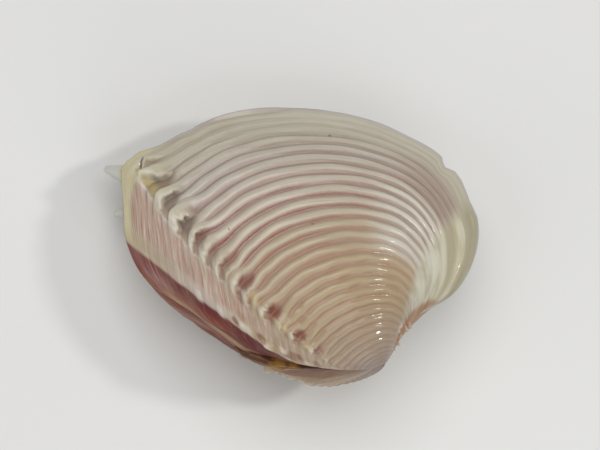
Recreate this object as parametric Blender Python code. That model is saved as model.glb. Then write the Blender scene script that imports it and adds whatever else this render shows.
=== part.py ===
"""Comb-venus clam shell, closed: two ribbed valves and the dried ligament between them.

The shell is drawn in its own frame, in millimetres. The tip of the beaks is the origin, +X is
anterior, +Y is ventral and +Z points at the left valve, so the valves meet in the plane Z = 0.
Each valve grows by a simple rule: the outline of its margin shrinks towards the beak and turns
about a tilted hinge axis as it does so. Every earlier margin stays on the shell as a ridge.
An empty then lays the closed shell down on the swollen middle of its right valve.
"""
from math import cos, pi, radians, sin

import bmesh
import bpy
import numpy as np
from mathutils import Euler, Matrix, Vector

MM = 0.001

# Margin of both valves, seen from the left side, for a shell 45 mm long.
SHELL_LENGTH = 45.0
DRAWN_LENGTH = 45.0
OUTLINE = (
    (-1.1, 0.2),      # 0: behind the beak
    (-5.9, 0.0),      # 1: front end of the ligament
    (-12.3, 0.8),
    (-18.8, 4.4),     # 3: rear end of the ligament
    (-24.2, 8.7),
    (-28.2, 11.9),
    (-30.5, 17.2),    # 6: corner of the dorsal spine row, edge of the escutcheon
    (-30.6, 22.9),
    (-29.8, 28.1),    # 8: corner of the main spine row, at the siphons
    (-25.8, 29.9),
    (-21.0, 32.3),
    (-13.8, 34.3),
    (-4.2, 34.2),     # 12: ventral margin
    (3.2, 32.2),
    (10.0, 28.1),
    (13.8, 21.8),
    (14.1, 16.0),     # 16: anterior end
    (11.2, 10.2),
    (7.8, 7.7),       # 18: start of the lunule
    (3.8, 5.7),
    (2.1, 3.0),       # 20: in front of the beak
)
DORSAL_CORNER = 6
SPINE_CORNER = 8
SECTION_CENTRE = (-9.0, 18.0)

# Growth: how fast the margin turns about the hinge axis, and where that axis points.
TURN_RATE = 0.896
TURN_LIMIT = 2.47
AXIS_IN_PLANE = radians(7.3)
AXIS_TILT = radians(22.7)

# Growth ridges: the size of the margin at each one, from the margin (1) to the beak (0).
FIRST_RIDGE = 0.962
RIDGE_STEP = 0.023
RIDGE_STEP_GROWTH = 0.02
RELIEF_RIDGES = 19
BEAK_SIZES = (0.25, 0.2, 0.15, 0.105, 0.065, 0.035)
RIDGE_HEIGHT = 0.17       # half height over half wavelength
RIDGE_STRENGTH = ((0, 0.1), (5, 0.15), (6, 0.5), (8, 0.7), (9, 1.0), (17, 1.0), (19, 0.4), (21, 0.1))
MARGIN_FADE = 0.12        # ridges nearer the margin than this are lower
LEAST_FADE = 0.35
SLOPE_STEP = 0.01         # small step along and across the margin, for the surface's slope

# Spine rows: the fold that carries them and the stubs of their broken spines. The main row
# has a stub on about every second ridge. The dorsal row has a few, one of them larger.
MAIN_STUB = 0.75
MAIN_STUB_RIDGES = (1, 3, 4, 6, 8, 9, 11, 12, 13, 15, 16, 18)
DORSAL_STUBS = {11: 0.3, 12: 0.35, 14: 0.8, 17: 0.35, 18: 0.3}
SPINE_SIDE = 0.22         # half width of a stub, in outline points
FOLD_HEIGHT = 0.25        # of the fold under the main row, whose half width is the next value
FOLD_SIDE = 0.6
FURROW_DEPTH = 0.2        # of the furrow in front of that row, with its distance and half width
FURROW_OFFSET = 0.8
FURROW_SIDE = 0.7

# Long spines left on the right valve: margin size, length, base and tip radius, heading.
LONG_SPINES = (
    (0.962, 3.7, 1.3, 0.45, (-0.88, 0.38, -0.28)),
    (0.872, 4.1, 0.95, 0.5, (-0.97, 0.0, -0.22)),
)
SPINE_FLATNESS = 0.7      # a spine's thickness over its width along the row
SPINE_SIDES = 10
SPINE_ROOT = 0.5          # how deep a long spine starts inside the wall

# Walls, rims and the groove of the ligament.
RIM_GAP = 0.15            # from each rim to the plane in which the valves meet
BEAK_GAP = 0.3
RIM_LIP = 0.3             # share of the rim's width that the outer lip takes
RIM_WIDTH = ((0, 6.0), (2, 5.0), (4, 3.4), (6, 2.6), (8, 2.4), (10, 2.0), (15, 2.0), (17, 3.2), (21, 6.0))
CAVITY = ((1.0, 1.0), (0.82, 0.99), (0.66, 0.96), (0.53, 0.9), (0.44, 0.75), (0.39, 0.45))
CAVITY_END = 0.375        # size of the margin at the deepest point of the cavity
GROOVE_MIDDLE = -12.6
GROOVE_HALF_LENGTH = 7.6
GROOVE_HALF_WIDTH = 0.85

# Ligament: a spindle in that groove, which stands out a little on the dorsal side.
LIGAMENT_ENDS = (0.85, 2.9)
LIGAMENT_RINGS = 15
LIGAMENT_SIDES = 10
LIGAMENT_DEPTH = 0.6      # half its thickness across the groove's length, in the meeting plane
LIGAMENT_LIFT = 0.45      # from the valves' edge to its middle
LIGAMENT_CLEARANCE = 0.2
LIGAMENT_TIP = 0.06       # squared share of the full thickness that is left at the tips
LIGAMENT_LEAST = 0.12     # least half width
LIGAMENT_THIN_ENDS = 0.3  # share of the groove's width that the ligament fills at its tips

# Rest pose: the closed shell rolls until it lies on the middle of its right valve.
REST_ROLL = radians(-8.8)
REST_PITCH = radians(-3.1)

SCALE = SHELL_LENGTH / DRAWN_LENGTH


def closed_spline(points, at):
    """Smooth closed curve through the points, read at the given positions, in points."""
    points = np.array(points, float)
    after = np.roll(points, -1, axis=0)
    span = np.sqrt(np.linalg.norm(after - points, axis=1))
    before = np.roll(span, 1)
    count = len(points)
    slope = (after - points) / span[:, None]
    system = np.diag(2 * (span + before))
    for i in range(count):
        system[i, i - 1] += before[i]
        system[i, (i + 1) % count] += span[i]
    bend = np.linalg.solve(system, 6 * (slope - np.roll(slope, 1, axis=0)))
    first = np.floor(at).astype(int) % count
    last = (first + 1) % count
    length = span[first][:, None]
    a = (at - np.floor(at))[:, None] * length
    b = length - a
    curve = (bend[first] * b ** 3 + bend[last] * a ** 3) / (6 * length)
    curve += (points[first] / length - bend[first] * length / 6) * b
    curve += (points[last] / length - bend[last] * length / 6) * a
    return curve


def along_outline(pairs, at):
    """Value between (outline point, value) pairs, read at the given outline positions."""
    places, values = zip(*pairs)
    return np.interp(np.mod(at, len(OUTLINE)), places, values)


def ridge_sizes():
    """Size of the margin at each ridge that stands out, largest first."""
    start = RIDGE_STEP + RIDGE_STEP_GROWTH * FIRST_RIDGE
    steps = np.arange(RELIEF_RIDGES)
    return (start * np.exp(-RIDGE_STEP_GROWTH * steps) - RIDGE_STEP) / RIDGE_STEP_GROWTH


def hinge_turn(size):
    """Angle by which a margin of this size has turned away from the full-grown margin."""
    return TURN_LIMIT * (1 - size ** (1 / (TURN_RATE * TURN_LIMIT)))


def grown(flat, size):
    """Flat points of the full-grown margin's plane, moved to where a smaller margin lay."""
    level = cos(AXIS_TILT)
    axis = Vector((cos(AXIS_IN_PLANE) * level, sin(AXIS_IN_PLANE) * level, sin(AXIS_TILT)))
    turn = Matrix.Rotation(hinge_turn(size), 3, axis)
    solid = np.c_[flat, np.zeros(len(flat))]
    return size * solid @ np.array(turn).T


def columns():
    """Positions round the outline of the mesh's columns, close together at the spine rows."""
    at = list(np.arange(0, len(OUTLINE), 0.5))
    for corner in (DORSAL_CORNER, SPINE_CORNER):
        at += [corner - SPINE_SIDE, corner + SPINE_SIDE]
    return np.array(sorted(at))


def outward(at, size):
    """Outward normals of the smooth valve along one margin, and the ridges' wavelength."""
    ahead = closed_spline(OUTLINE, at + SLOPE_STEP)
    behind = closed_spline(OUTLINE, at - SLOPE_STEP)
    across = grown(ahead, size) - grown(behind, size)
    flat = closed_spline(OUTLINE, at)
    step = SLOPE_STEP * size
    along = (grown(flat, size + step) - grown(flat, size - step)) / (2 * step)
    normal = np.cross(across, along)
    normal /= np.linalg.norm(normal, axis=1)[:, None]
    return normal, np.linalg.norm(along, axis=1) * (RIDGE_STEP + RIDGE_STEP_GROWTH * size)


def bump(at, centre, half_width):
    """Round bump of height 1 across the outline."""
    return np.maximum(0, 1 - np.abs((at - centre) / half_width)) ** 1.5


def groove_half_width(x):
    """Half width of the ligament's groove, which is a long, thin lens."""
    reach = 1 - ((x - GROOVE_MIDDLE) / GROOVE_HALF_LENGTH) ** 2
    return GROOVE_HALF_WIDTH * np.sqrt(np.maximum(reach, 0))


def keep_apart(points):
    """Lift points off the meeting plane by the gap of the rims and the ligament's groove."""
    least = RIM_GAP + groove_half_width(points[:, 0])
    points[:, 2] = np.maximum(points[:, 2] + RIM_GAP, least)
    return points


def outer_margin(at, size, height):
    """One margin on the outside of a valve: height is 1 on a ridge and -1 in a groove."""
    points = grown(closed_spline(OUTLINE, at), size)
    normal, wavelength = outward(at, size)
    fade = np.clip((1 - size) / MARGIN_FADE, LEAST_FADE, 1)
    relief = height * fade * RIDGE_HEIGHT * wavelength * along_outline(RIDGE_STRENGTH, at)
    relief += size * FOLD_HEIGHT * bump(at, SPINE_CORNER, FOLD_SIDE)
    relief -= size * FURROW_DEPTH * bump(at, SPINE_CORNER + FURROW_OFFSET, FURROW_SIDE)
    return points + relief[:, None] * normal, normal


def stubs_on_ridge(at, number, size):
    """Height of the broken spines that stand on one ridge."""
    height = DORSAL_STUBS.get(number, 0) * bump(at, DORSAL_CORNER, SPINE_SIDE)
    if number in MAIN_STUB_RIDGES:
        height += MAIN_STUB * size ** 0.5 * bump(at, SPINE_CORNER, SPINE_SIDE)
    return height[:, None]


def outer_sheet(at):
    """Margins of the outside from the lip to the beak, with grooves between the ridges."""
    rings = [grown(closed_spline(OUTLINE, at), 1.0)]
    for number, ridge in enumerate(ridge_sizes()):
        half_step = 0.5 * (RIDGE_STEP + RIDGE_STEP_GROWTH * ridge)
        crest, normal = outer_margin(at, ridge, 1.0)
        rings.append(crest + stubs_on_ridge(at, number, ridge) * normal)
        rings.append(outer_margin(at, ridge - half_step, -1.0)[0])
    for size in BEAK_SIZES:
        rings.append(outer_margin(at, size, 0.0)[0])
    rings = [keep_apart(ring) for ring in rings]
    for ring, size in zip(rings[-len(BEAK_SIZES):], BEAK_SIZES):
        ring[:, 2] = np.maximum(ring[:, 2], BEAK_GAP)
    return rings


def inner_outline(at):
    """Edge of the cavity in the meeting plane: the margin, set in by the width of the rim."""
    centre = np.array(SECTION_CENTRE)
    spokes = closed_spline(OUTLINE, at) - centre
    reach = np.linalg.norm(spokes, axis=1)
    return centre + spokes * (1 - along_outline(RIM_WIDTH, at) / reach)[:, None]


def inner_sheet(at):
    """Rim and cavity of a valve, from the lip to the cavity's deepest margin."""
    outer = closed_spline(OUTLINE, at)
    inner = inner_outline(at)
    centre = np.array(SECTION_CENTRE)
    rings = [grown(outer + RIM_LIP * (inner - outer), 1.0)]
    for size, share in CAVITY:
        rings.append(grown(centre + share * (inner - centre), size))
    for ring in rings:
        ring[:, 2] = np.maximum(ring[:, 2], 0) + RIM_GAP
    return rings


def valve_mesh(name, side):
    """Closed mesh of a valve: outside, rim and cavity. side is 1 for left and -1 for right."""
    at = columns()
    outer = outer_sheet(at)
    inner = inner_sheet(at)
    beak = outer[-1].mean(axis=0)
    deepest = grown(np.array([SECTION_CENTRE]), CAVITY_END)[0] + (0, 0, RIM_GAP)
    rings = list(reversed(inner)) + outer
    points = np.vstack([deepest] + rings + [beak]) * SCALE * MM
    points[:, 2] *= side
    mesh = bpy.data.meshes.new(name)
    shape = bmesh.new()
    verts = [shape.verts.new(point) for point in points]
    width = len(at)
    for j in range(width):
        k = (j + 1) % width
        shape.faces.new((verts[0], verts[1 + j], verts[1 + k]))
        for i in range(len(rings) - 1):
            low = 1 + i * width
            high = low + width
            shape.faces.new((verts[low + j], verts[high + j], verts[high + k], verts[low + k]))
        end = 1 + (len(rings) - 1) * width
        shape.faces.new((verts[end + j], verts[-1], verts[end + k]))
    bmesh.ops.triangulate(shape, faces=shape.faces[:], quad_method="FIXED")
    bmesh.ops.recalc_face_normals(shape, faces=shape.faces[:])
    shape.to_mesh(mesh)
    shape.free()
    return mesh


def add_object(name, mesh, material, parent):
    """Named object with its material, under the empty that lays the shell down."""
    mesh.materials.append(material)
    mesh.shade_smooth()
    mesh.set_sharp_from_angle(angle=radians(30))
    thing = bpy.data.objects.new(name, mesh)
    bpy.context.collection.objects.link(thing)
    thing.parent = parent
    return thing


def finished_tube(name, shape, rings):
    """Mesh of a tube through rings of equal count, closed at both ends."""
    for low, high in zip(rings, rings[1:]):
        for j in range(len(low)):
            k = (j + 1) % len(low)
            shape.faces.new((low[j], low[k], high[k], high[j]))
    shape.faces.new(rings[0])
    shape.faces.new(rings[-1])
    bmesh.ops.recalc_face_normals(shape, faces=shape.faces[:])
    mesh = bpy.data.meshes.new(name)
    shape.to_mesh(mesh)
    shape.free()
    return mesh


def spine_mesh(length, base_radius, tip_radius):
    """Blunt, tapered, slightly flattened spine along +Z, from below its base to its tip."""
    profile = [(-SPINE_ROOT, base_radius), (0.0, base_radius)]
    for share in (0.5, 0.85):
        profile.append((length * share, base_radius + (tip_radius - base_radius) * share))
    profile.append((length, tip_radius * 0.6))
    shape = bmesh.new()
    rings = []
    for height, radius in profile:
        circle = bmesh.ops.create_circle(shape, segments=SPINE_SIDES, radius=radius * SCALE * MM)
        bmesh.ops.scale(shape, verts=circle["verts"], vec=(1, SPINE_FLATNESS, 1))
        bmesh.ops.translate(shape, verts=circle["verts"], vec=(0, 0, height * SCALE * MM))
        rings.append(circle["verts"])
    return finished_tube("spine", shape, rings)


def add_long_spine(valve, size, length, base_radius, tip_radius, heading):
    """Join one long siphon spine to the right valve's main row."""
    at = np.array([SPINE_CORNER], float)
    row = [grown(closed_spline(OUTLINE, at), near)[0] * (1, 1, -1) for near in (size, size + SLOPE_STEP)]
    heading = Vector(heading).normalized()
    across = heading.cross(Vector(row[1] - row[0])).normalized()
    along = across.cross(heading)
    spine = bpy.data.objects.new("spine", spine_mesh(length, base_radius, tip_radius))
    bpy.context.collection.objects.link(spine)
    spine.parent = valve.parent
    spine.rotation_euler = Matrix((along, across, heading)).transposed().to_euler()
    spine.location = row[0] * SCALE * MM
    spine.hide_render = True
    spine.display_type = "WIRE"
    join = valve.modifiers.new("long spine", "BOOLEAN")
    join.operation = "UNION"
    join.solver = "EXACT"
    join.object = spine


def ligament_ring(shape, place, dorsal, share):
    """One cross-section of the ligament: share runs from -1 to 1 along its length."""
    swell = max(1 - share ** 2, LIGAMENT_TIP) ** 0.5
    half_width = max(groove_half_width(place[0]) - LIGAMENT_CLEARANCE, LIGAMENT_LEAST)
    half_width *= min(1, LIGAMENT_THIN_ENDS + swell)
    ring = []
    for k in range(LIGAMENT_SIDES):
        angle = 2 * pi * k / LIGAMENT_SIDES
        flat = place + dorsal * (LIGAMENT_LIFT + LIGAMENT_DEPTH * swell * cos(angle))
        ring.append(shape.verts.new(Vector((flat[0], flat[1], half_width * sin(angle))) * SCALE * MM))
    return ring


def ligament_mesh():
    """Spindle along the dorsal margin, thickest in the middle of its groove."""
    at = np.linspace(*LIGAMENT_ENDS, LIGAMENT_RINGS)
    centre = closed_spline(OUTLINE, at)
    heading = closed_spline(OUTLINE, at + SLOPE_STEP) - closed_spline(OUTLINE, at - SLOPE_STEP)
    heading /= np.linalg.norm(heading, axis=1)[:, None]
    dorsal = np.c_[heading[:, 1], -heading[:, 0]] * np.sign(heading[:, :1])
    shares = np.linspace(-1, 1, LIGAMENT_RINGS)
    shape = bmesh.new()
    rings = [ligament_ring(shape, *ring) for ring in zip(centre, dorsal, shares)]
    return finished_tube("ligament", shape, rings)


def material(name, colour, roughness):
    """Plain glossy material of one colour."""
    made = bpy.data.materials.new(name)
    made.use_nodes = True
    shader = made.node_tree.nodes["Principled BSDF"]
    shader.inputs["Base Color"].default_value = (*colour, 1.0)
    shader.inputs["Roughness"].default_value = roughness
    shader.inputs["Metallic"].default_value = 0.0
    return made


def lay_down(rest):
    """Tilt the shell into its rest pose, with the middle of its box's base at the origin."""
    rest.rotation_euler = Euler((REST_ROLL, REST_PITCH, 0.0))
    bpy.context.view_layer.update()
    depsgraph = bpy.context.evaluated_depsgraph_get()
    corners = []
    for thing in rest.children:
        if thing.display_type == "WIRE":
            continue
        mesh = thing.evaluated_get(depsgraph).to_mesh()
        corners += [thing.matrix_world @ vertex.co for vertex in mesh.vertices]
    corners = np.array(corners)
    low = corners.min(axis=0)
    high = corners.max(axis=0)
    rest.location = (-0.5 * (low[0] + high[0]), -0.5 * (low[1] + high[1]), -low[2])
    bpy.context.view_layer.update()


def main():
    for thing in list(bpy.data.objects):
        bpy.data.objects.remove(thing, do_unlink=True)
    shell = material("shell", (0.80, 0.70, 0.62), 0.35)
    horn = material("dried_ligament", (0.32, 0.15, 0.05), 0.4)
    rest = bpy.data.objects.new("rest_pose", None)
    bpy.context.collection.objects.link(rest)
    add_object("left_valve", valve_mesh("left_valve", 1), shell, rest)
    right = add_object("right_valve", valve_mesh("right_valve", -1), shell, rest)
    for spine in LONG_SPINES:
        add_long_spine(right, *spine)
    add_object("ligament", ligament_mesh(), horn, rest)
    lay_down(rest)


main()
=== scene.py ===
"""Looks of the comb-venus clam shell: two ribbed valves, the dried ligament, floor and lights.

The valves are drawn in the shell's own frame, in millimetres, by the same growth rule as the
model: +X is anterior, +Y is ventral, +Z points at the left valve, and the beaks' tip is the
origin. `around` counts the points of the margin's outline, and `size` is 1 at the margin and
0 at the beak. `phase` counts the growth ridges from the margin to the beak. A pair of values
that goes to smooth() says where something begins and where it is whole.
"""
from math import cos, pi, radians, sin

import bpy
import numpy as np
from mathutils import Euler, Matrix, Vector


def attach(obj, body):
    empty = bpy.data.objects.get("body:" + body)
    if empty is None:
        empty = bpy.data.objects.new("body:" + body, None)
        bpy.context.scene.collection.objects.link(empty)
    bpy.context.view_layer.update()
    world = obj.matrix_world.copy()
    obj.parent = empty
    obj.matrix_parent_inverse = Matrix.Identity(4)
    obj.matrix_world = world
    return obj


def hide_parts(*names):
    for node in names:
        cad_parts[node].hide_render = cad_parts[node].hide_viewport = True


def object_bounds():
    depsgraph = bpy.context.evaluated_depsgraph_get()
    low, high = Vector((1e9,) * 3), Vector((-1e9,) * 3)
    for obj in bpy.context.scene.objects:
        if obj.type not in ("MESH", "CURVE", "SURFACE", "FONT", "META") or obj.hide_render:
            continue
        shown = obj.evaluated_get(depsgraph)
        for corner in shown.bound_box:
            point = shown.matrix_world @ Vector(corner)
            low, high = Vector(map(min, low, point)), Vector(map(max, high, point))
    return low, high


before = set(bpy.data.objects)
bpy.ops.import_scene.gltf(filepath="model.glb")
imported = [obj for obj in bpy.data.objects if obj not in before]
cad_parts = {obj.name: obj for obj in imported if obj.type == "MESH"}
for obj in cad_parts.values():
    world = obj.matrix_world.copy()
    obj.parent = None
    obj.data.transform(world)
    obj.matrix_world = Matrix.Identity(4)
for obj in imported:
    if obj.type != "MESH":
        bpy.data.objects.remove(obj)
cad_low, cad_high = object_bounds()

MM = 0.001

# Rest pose of the shell's own frame.
REST_ROLL = radians(-8.8)
REST_PITCH = radians(-3.1)
REST_PLACE = Vector((8.7847, -16.1144, 12.8295))

# Margin of both valves, and the middle that the rims and cavities are drawn in towards.
OUTLINE = np.array((
    (-1.1, 0.2), (-5.9, 0), (-12.3, 0.8), (-18.8, 4.4), (-24.2, 8.7), (-28.2, 11.9), (-30.5, 17.2),
    (-30.6, 22.9), (-29.8, 28.1), (-25.8, 29.9), (-21, 32.3), (-13.8, 34.3), (-4.2, 34.2),
    (3.2, 32.2), (10, 28.1), (13.8, 21.8), (14.1, 16), (11.2, 10.2), (7.8, 7.7), (3.8, 5.7), (2.1, 3),
))
POINTS = len(OUTLINE)
SECTION_CENTRE = np.array((-9, 18))
SPINE_CORNER = 8

# Growth of the margin about the hinge axis.
TURN_RATE = 0.896
TURN_LIMIT = 2.47
AXIS_IN_PLANE = radians(7.3)
AXIS_TILT = radians(22.7)
AXIS = np.array((cos(AXIS_IN_PLANE) * cos(AXIS_TILT), sin(AXIS_IN_PLANE) * cos(AXIS_TILT), sin(AXIS_TILT)))
SLOPE_STEP = 0.01

# Mesh of a valve. Its columns stand closer round each focus: place, half width, weight, power.
COLUMNS = 236
RINGS = 372
INNER_RINGS = 26
LAST_RING = 0.02
COLUMN_WEIGHT = 8
COLUMN_FOCUS = ((SPINE_CORNER, 1, 16, 0.5), (6.1, 0.6, 10, 0.5), (14.4, 1.2, 8, 0.7))
RING_WEIGHT = 6
RING_FOCUS = 7
RING_FOCUS_SIZES = (0.2, 0.45)

# Ridges: their step far from the beak, how soon it shrinks near the beak, and the first ridge.
RIDGE_STEP = 0.038
RIDGE_REACH = 0.18
FIRST_RIDGE = 0.966
RIDGE_HEIGHT = 0.105
RIDGE_STRENGTH = (
    (0, 0.1), (5, 0.15), (6, 0.25), (6.5, 0.25), (7, 0.3), (7.5, 0.8), (7.9, 1), (14, 1), (14.9, 0.8),
    (15.3, 0.3), (17, 0.2), (21, 0.1),
)
RIDGE_WOBBLE = 0.003
GATHER_POWER = 1.2  # flattens a groove whose ridges are drawn together
CREST_POWER = 1.8  # breadth of the crests
MOST_GATHER = 1.7
MARGIN_FADE = 0.09  # ridges this near the margin are lower
LEAST_FADE = 0.45
NUMBERS = np.arange(-2, 60)
# The latest ridges are lower, and the young ones near the beak run further round.
CALM_SIZES, CALM_PLACES, CALM_SHARE = (0.85, 0.91), (9.8, 11.2), 0.62
YOUNG_SIZES, YOUNG_REAR, YOUNG_FRONT = (0.52, 0.36), (5.5, 6.6), (17.5, 15.5)
YOUNG_STRENGTH, YOUNG_MORE, YOUNG_PLACES = 0.75, 0.45, (11.5, 13)

# Areas: the rear one lies between the two rows of spines, the disc in front of the main row.
REAR_PLACES, REAR_EDGE = (6.35, 6.55), (-0.2, -0.65)
DISC_EDGE, DISC_END = (-0.2, 0), (16.5, 14.8)
FRONT_BEGINS, FRONT_ENDS, FRONT_SIZES = (14.7, 15.6), (18, 16.8), (0.4, 0.6)
LAMELLA_HEIGHT = 0.05
FRONT_SWELL = 0.13
# Fold and furrow at the main row and fold under the dorsal row: place, half width and height.
FOLDS = ((SPINE_CORNER, 0.6, 0.25), (8.8, 0.7, -0.2), (6.15, 0.35, 0.12))

# Sizes of the ridges at the main spine row, from ridge 0 on. Neighbours draw together in pairs,
# with one spine each, and leave wide hollows between the pairs.
ROW_SIZES = (
    0.968, 0.93, 0.868, 0.848, 0.805, 0.788, 0.722, 0.708, 0.665, 0.612, 0.572, 0.555, 0.505, 0.478, 0.452,
    0.395, 0.378, 0.352, 0.305, 0.288, 0.245, 0.23, 0.202,
)
ROW_PLACE = (
    (0, 8.2), (0.2, 8.15), (0.4, 7.95), (0.5, 7.85), (0.6, 7.78), (0.7, 7.78), (0.78, 7.85), (0.85, 8.05),
    (0.93, 8.25), (1, 8.3),
)
ROW_PULL = (9.5, 8.5)
# Broken spines of the main row: ridge number, slant of the torn edge, length of the hollow under
# it, in ridges, height, and how dark the painted shade in the hollow is.
SCALES = (
    (0.1, 0, 0.7, 0.3, 0.6), (1.05, 0.8, 1.8, 0.85, 1), (3.4, 0, 1.55, 0.75, 0.9),
    (5.3, 0.3, 1.3, 0.75, 1), (7.25, 0, 0.9, 0.6, 0.6), (8.25, 0, 0.8, 0.45, 0.4),
    (9.2, 0, 0.9, 0.5, 0.4), (11.2, 0, 0.8, 0.5, 0.3), (12, 0, 0.7, 0.3, 0.1),
    (14.15, 0, 0.8, 0.45, 0.2), (15.4, 0, 0.7, 0.25, 0.1), (17.1, 0, 0.8, 0.4, 0.2),
    (19.2, 0, 0.8, 0.3, 0.1), (21, 0, 0.7, 0.2, 0),
)
OVERHANG = 0.3  # of a plate over its hollow, as a share of its height
TORN_UNEVEN = 0.09  # of the torn edges, in ridges
HOLLOW_DEPTH = 0.4  # like FOLD_RISE, a share of the plate's height
FOLD_RISE = 0.3
# Split that runs from the first broken spine to the margin: its ends, as place and size, their
# scale in mm, and the height of its raised side.
SPLIT = ((7.95, 0.932), (8.5, 0.974))
SPLIT_SCALE = (5.2, 42)
SPLIT_HEIGHT = 0.4
# Spines of the dorsal row: size, place round the margin, height and half length along the row.
LEFT_DORSAL = (
    (0.705, 6.1, 0.12, 0.02), (0.622, 6.1, 0.12, 0.02), (0.53, 6.15, 0.25, 0.028), (0.455, 5.95, 0.7, 0.022),
    (0.39, 6.3, 0.45, 0.02), (0.385, 5.85, 0.3, 0.014), (0.3, 6.3, 0.25, 0.02),
)
RIGHT_DORSAL = (
    (0.62, 6.05, 0.2, 0.02), (0.492, 6, 0.8, 0.018), (0.395, 6.05, 1.5, 0.02), (0.355, 6, 0.4, 0.014),
    (0.325, 6.05, 0.7, 0.014), (0.292, 6.1, 0.6, 0.013), (0.258, 6.3, 0.6, 0.013), (0.222, 6.6, 0.5, 0.012),
)
# Small points on the edge of the lunule, in the same terms, and the half width of them all.
LUNULE_POINTS = ((0.35, 16.65, 0.6, 0.014), (0.285, 16.25, 0.6, 0.014), (0.225, 16, 0.35, 0.012))
KNOB_SIDE = 0.28
# Long spines of the right valve: size, length, base radius, tip radius and heading.
LONG_SPINES = (
    (0.962, 3.7, 1.45, 0.5, (-0.88, 0.38, -0.28)),
    (0.872, 4.1, 1.05, 0.55, (-0.97, 0, -0.22)),
)
SPINE_FLATNESS = 1.1
SPINE_ROOM = (1, 0.09)  # places and sizes that it can draw on
BLUNTNESS = 0.8
# Chips in the margin: place, depth as a share of the size, and half width.
CHIPS = (
    (8.1, 0.013, 0.4), (13.5, 0.012, 0.45), (14.28, 0.035, 0.16), (15.05, 0.018, 0.4), (9.9, 0.006, 0.25),
)
CHIP_POWER = 0.8
CHIP_SIZES = (0.86, 1)

# Rims, cavity and the ligament's groove.
RIM_GAP = 0.05
BEAK_GAP = 0.12
BEAK_GAP_SIZES = (0.35, 0.2)
RIM_SHARES = (0.1, 0.3)  # rings of the rim, across its width
RIM_WIDTH = ((0, 6), (2, 5), (4, 3.4), (6, 2.6), (8, 2.4), (10, 2), (15, 2), (17, 3.2), (21, 6))
CAVITY = ((0.375, 0), (0.39, 0.45), (0.44, 0.75), (0.53, 0.9), (0.66, 0.96), (0.82, 0.99), (1, 1))
CAVITY_END = 0.38
GROOVE_MIDDLE = -14
GROOVE_HALF_LENGTH = 5.4
GROOVE_HALF_WIDTH = 0.66
SLOT_HALF_WIDTH = 0.14
SLOT_ENDS = ((-15, -12), (-3, -6))

# Valley between the dorsal sides: how far they are pressed in, how much the level falls off per
# mm from the meeting plane, and how soft its edge is.
VALLEY_PLACES = (5, 0)
VALLEY_EDGE = 0.2
VALLEY_DEPTH = (
    (-24, 0), (-21, -0.4), (-18, -0.8), (-17, -0.5), (-16.2, 0.1), (-14.5, 0.8), (-12, 1.3), (-8.5, 1.3),
    (-6, 0.5), (-4.5, 0),
)
VALLEY_FALL = ((-26, 0.38), (-22.5, 0.2), (-18, 0.14), (-13, 0.18), (-10, 0.26), (-6, 0.38))
VALLEY_START = 0.1
VALLEY_SLOPE = 0.4
VALLEY_ENDS = ((0.5, 3.5), (-20, -24))
VALLEY_END_DROP = 6
VALLEY_OPEN_Z = (0, 0.8)
FAR_INSIDE = 20  # in valley edges; nothing is pressed in beyond it
# How far the lips bow out where the valves meet, and how far the right valve's dorsal side lies
# in from the left one's, by x, with where both fade out over z and over the depth in the shell.
LIP_BOW = (
    (-24, 0), (-21, 0.35), (-18.2, 0.8), (-17.2, 0.9), (-16.4, 0.55), (-15, 0.3), (-13, 0.2), (-11.5, 0),
)
LIP_BOW_Z, LIP_BOW_DEEP = (4, 0.3), (6, 3)
RIGHT_INSET = (
    (-27, 0), (-25, 0.4), (-23, 0.85), (-20, 1.15), (-16.5, 1.15), (-14.5, 1), (-12, 0.8), (-10, 0.4),
    (-8.5, 0),
)
RIGHT_INSET_Z, RIGHT_INSET_FAR_Z, RIGHT_INSET_DEEP = (0.4, 2.4), (11, 6), (9, 5)


def outline(at):
    """Places on the margin: a smooth closed curve through the points of OUTLINE."""
    after = np.roll(OUTLINE, -1, axis=0)
    span = np.sqrt(np.linalg.norm(after - OUTLINE, axis=1))
    before = np.roll(span, 1)
    slope = (after - OUTLINE) / span[:, None]
    system = np.diag(2 * (span + before))
    for i in range(POINTS):
        system[i, i - 1] += before[i]
        system[i, (i + 1) % POINTS] += span[i]
    bend = np.linalg.solve(system, 6 * (slope - np.roll(slope, 1, axis=0)))
    first = np.floor(at).astype(int) % POINTS
    last = (first + 1) % POINTS
    length = span[first][..., None]
    a = (at - np.floor(at))[..., None] * length
    b = length - a
    curve = (bend[first] * b ** 3 + bend[last] * a ** 3) / (6 * length)
    curve += (OUTLINE[first] / length - bend[first] * length / 6) * b
    curve += (OUTLINE[last] / length - bend[last] * length / 6) * a
    return curve


def grown(flat, size):
    """Points of the full-grown margin's plane, moved to a smaller margin."""
    turn = TURN_LIMIT * (1 - size ** (1 / (TURN_RATE * TURN_LIMIT)))[..., None]
    solid = np.concatenate([flat, np.zeros_like(flat[..., :1])], axis=-1)
    along = (solid @ AXIS)[..., None] * AXIS
    turned = along + (solid - along) * np.cos(turn) + np.cross(AXIS, solid) * np.sin(turn)
    return size[..., None] * turned


def smooth(low, high, value):
    """0 below low, 1 above high and a smooth step between; low may be the larger."""
    share = np.clip((value - low) / (high - low), 0, 1)
    return share * share * (3 - 2 * share)


def hump(value, centre, half_width, power=1.5):
    """Pointed bump of height 1."""
    return np.maximum(0, 1 - np.abs((value - centre) / half_width)) ** power


def dome(value, centre, half_width):
    """Blunt bump of height 1."""
    return np.maximum(0, 1 - ((value - centre) / half_width) ** 2) ** 1.5


def ripple(value, seed, low=0.6, high=2.4, waves=6):
    """Smooth random curve, mostly between -1 and 1."""
    random = np.random.default_rng(seed)
    total = 0
    for _ in range(waves):
        total += np.sin(value * random.uniform(low, high) * 2 * pi + random.uniform(0, 2 * pi))
    return total / waves ** 0.5 * 0.8


def knots(pairs, value):
    """Value between (place, value) pairs."""
    places, values = zip(*pairs)
    return np.interp(value, places, values)


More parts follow.
